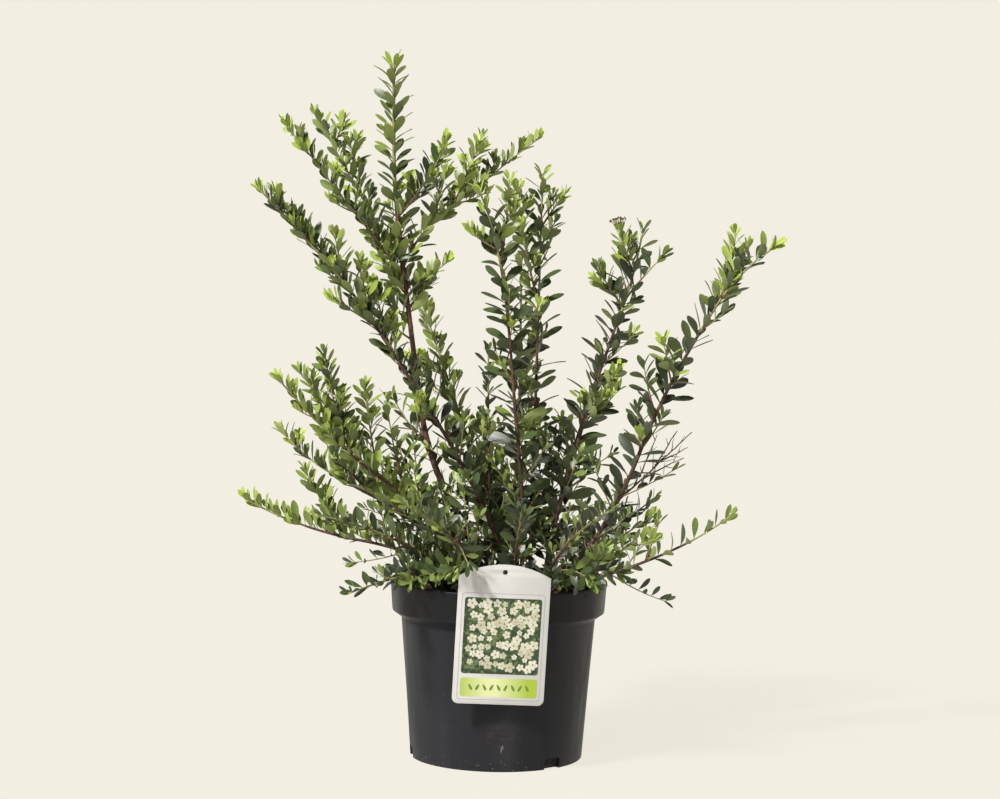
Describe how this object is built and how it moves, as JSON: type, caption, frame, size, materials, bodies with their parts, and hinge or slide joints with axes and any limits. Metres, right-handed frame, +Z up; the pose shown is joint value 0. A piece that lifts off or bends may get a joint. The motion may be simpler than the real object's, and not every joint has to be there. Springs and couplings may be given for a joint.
{
  "type": "potted spirea shrub",
  "caption": "Young garden shrub with arching leafy canes and small oval leaves, rooted in soil in a round black nursery pot with a plain picture label hooked over its rim",
  "frame": {"origin": "middle of the pot's flat underside", "axes": "+Z up out of the pot, -Y towards the side with the label, +X to the right when the label is seen"},
  "size_m": [0.4686, 0.3722, 0.6115],
  "materials": {
    "pot_plastic": "satin black moulded plastic, dusty and scuffed",
    "soil": "loose dark brown peat with bits of bark",
    "label_card": "smooth white printed plastic card",
    "bark": "thin reddish brown bark",
    "leaves": "green leaves with a soft sheen, lime at the shoot tips",
    "dry_wood": "pale dry twigs"
  },
  "bodies": {
    "root": {"pot": "pot_plastic", "potting_soil": "soil", "plant_label": "label_card", "short_stem": "bark", "cane_tall_left": "bark", "cane_arching_left": "bark", "cane_middle": "bark", "cane_middle_back": "bark", "cane_upright_right": "bark", "cane_far_right": "bark", "cane_left": "bark", "cane_low_left": "bark", "cane_lowest_left": "bark", "cane_low_right": "bark", "cane_back": "bark", "cane_back_left": "bark", "cane_back_right": "bark", "cane_back_low": "bark", "cane_back_low_left": "bark", "leaves_tall_left": "leaves", "leaves_tall_left_low": "leaves", "leaves_tall_left_outer": "leaves", "leaves_tall_left_right": "leaves", "leaves_tall_left_inner": "leaves", "leaves_arching_left": "leaves", "leaves_middle": "leaves", "leaves_middle_back": "leaves", "leaves_upright_right": "leaves", "leaves_far_right": "leaves", "leaves_left": "leaves", "leaves_low_left": "leaves", "leaves_lowest_left": "leaves", "leaves_low_right": "leaves", "leaves_back": "leaves", "leaves_back_left": "leaves", "leaves_back_right": "leaves", "leaves_back_low": "leaves", "leaves_back_low_left": "leaves", "leaves_back_low_right": "leaves", "leaves_inner": "leaves", "leaves_short_right": "leaves", "leaves_rim_left": "leaves", "leaves_rim_right": "leaves", "leaves_front": "leaves", "leaves_front_left": "leaves", "leaves_front_right": "leaves", "leaves_front_low_left": "leaves", "dry_twigs": "dry_wood"}
  },
  "joints": []
}
